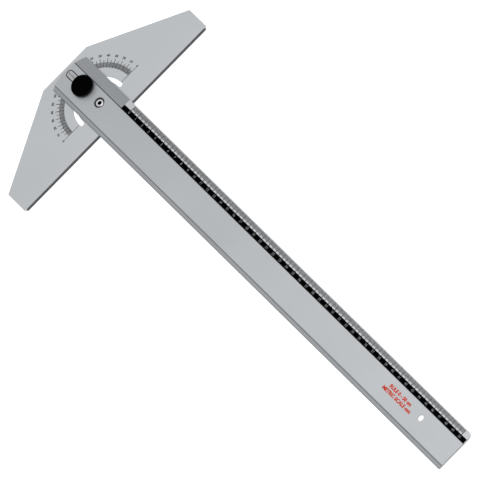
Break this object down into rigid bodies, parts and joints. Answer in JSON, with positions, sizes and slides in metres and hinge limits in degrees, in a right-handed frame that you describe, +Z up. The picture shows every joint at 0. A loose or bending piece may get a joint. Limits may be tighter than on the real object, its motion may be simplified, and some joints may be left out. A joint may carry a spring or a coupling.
{
  "type": "t square",
  "caption": "Flat T square: a bevelled metal blade with a centimetre scale turns on a hexagonal protractor head and is held by a thumb knob in an arc slot.",
  "frame": {"origin": "middle of the head's working face, the face that bears on the edge of the drawing board", "axes": "+X along the blade to its far end, +Y to the blade's scale edge, +Z up from the drawing surface"},
  "size_m": [0.5945, 0.236, 0.0092],
  "materials": {
    "plate_aluminium": "satin anodised",
    "strip_metal": "dark anodised",
    "steel": "zinc plated",
    "rivet_nickel": "nickel plated, bright",
    "black_nylon": "satin",
    "white_nylon": "satin",
    "blade_aluminium": "satin anodised, drawn lengthwise",
    "tape_film": "silver film, printed black",
    "clear_acrylic": "clear acrylic",
    "knob_plastic": "moulded, satin",
    "insert_brass": "turned",
    "black_ink": "printed",
    "white_ink": "printed",
    "red_ink": "printed"
  },
  "bodies": {
    "head": {"head_plate": "plate_aluminium", "guide_strip": "strip_metal", "strip_screws": "steel", "pivot_rivet": "rivet_nickel", "pivot_top_washer": "black_nylon", "pivot_back_washer": "steel", "pivot_glide": "white_nylon"},
    "blade": {"blade": "blade_aluminium", "scale_tape": "tape_film", "index_window": "clear_acrylic", "clamp_washer": "steel", "clamp_glide": "white_nylon"},
    "knob": {"clamp_knob": "knob_plastic", "knob_insert": "insert_brass"},
    "bolt": {"clamp_bolt": "steel", "slide_washer": "steel"}
  },
  "joints": [
    {"name": "blade_pivot", "type": "hinge", "parent": "head", "child": "blade", "pos_m": [-0.024, 0, 0], "axis": [0, 0, 1], "range_deg": [-90, 90]},
    {"name": "knob_turn", "type": "hinge", "parent": "blade", "child": "knob", "pos_m": [-0.049, 0, 0], "axis": [0, 0, 1], "range_deg": [0, 360]},
    {"name": "bolt_drop", "type": "slide", "parent": "blade", "child": "bolt", "axis": [0, 0, -1], "range_m": [0, 0.0007]}
  ],
  "couplings": [
    {"joint": "knob_turn", "follows": "bolt_drop", "rad_per_m": 8975.9}
  ]
}
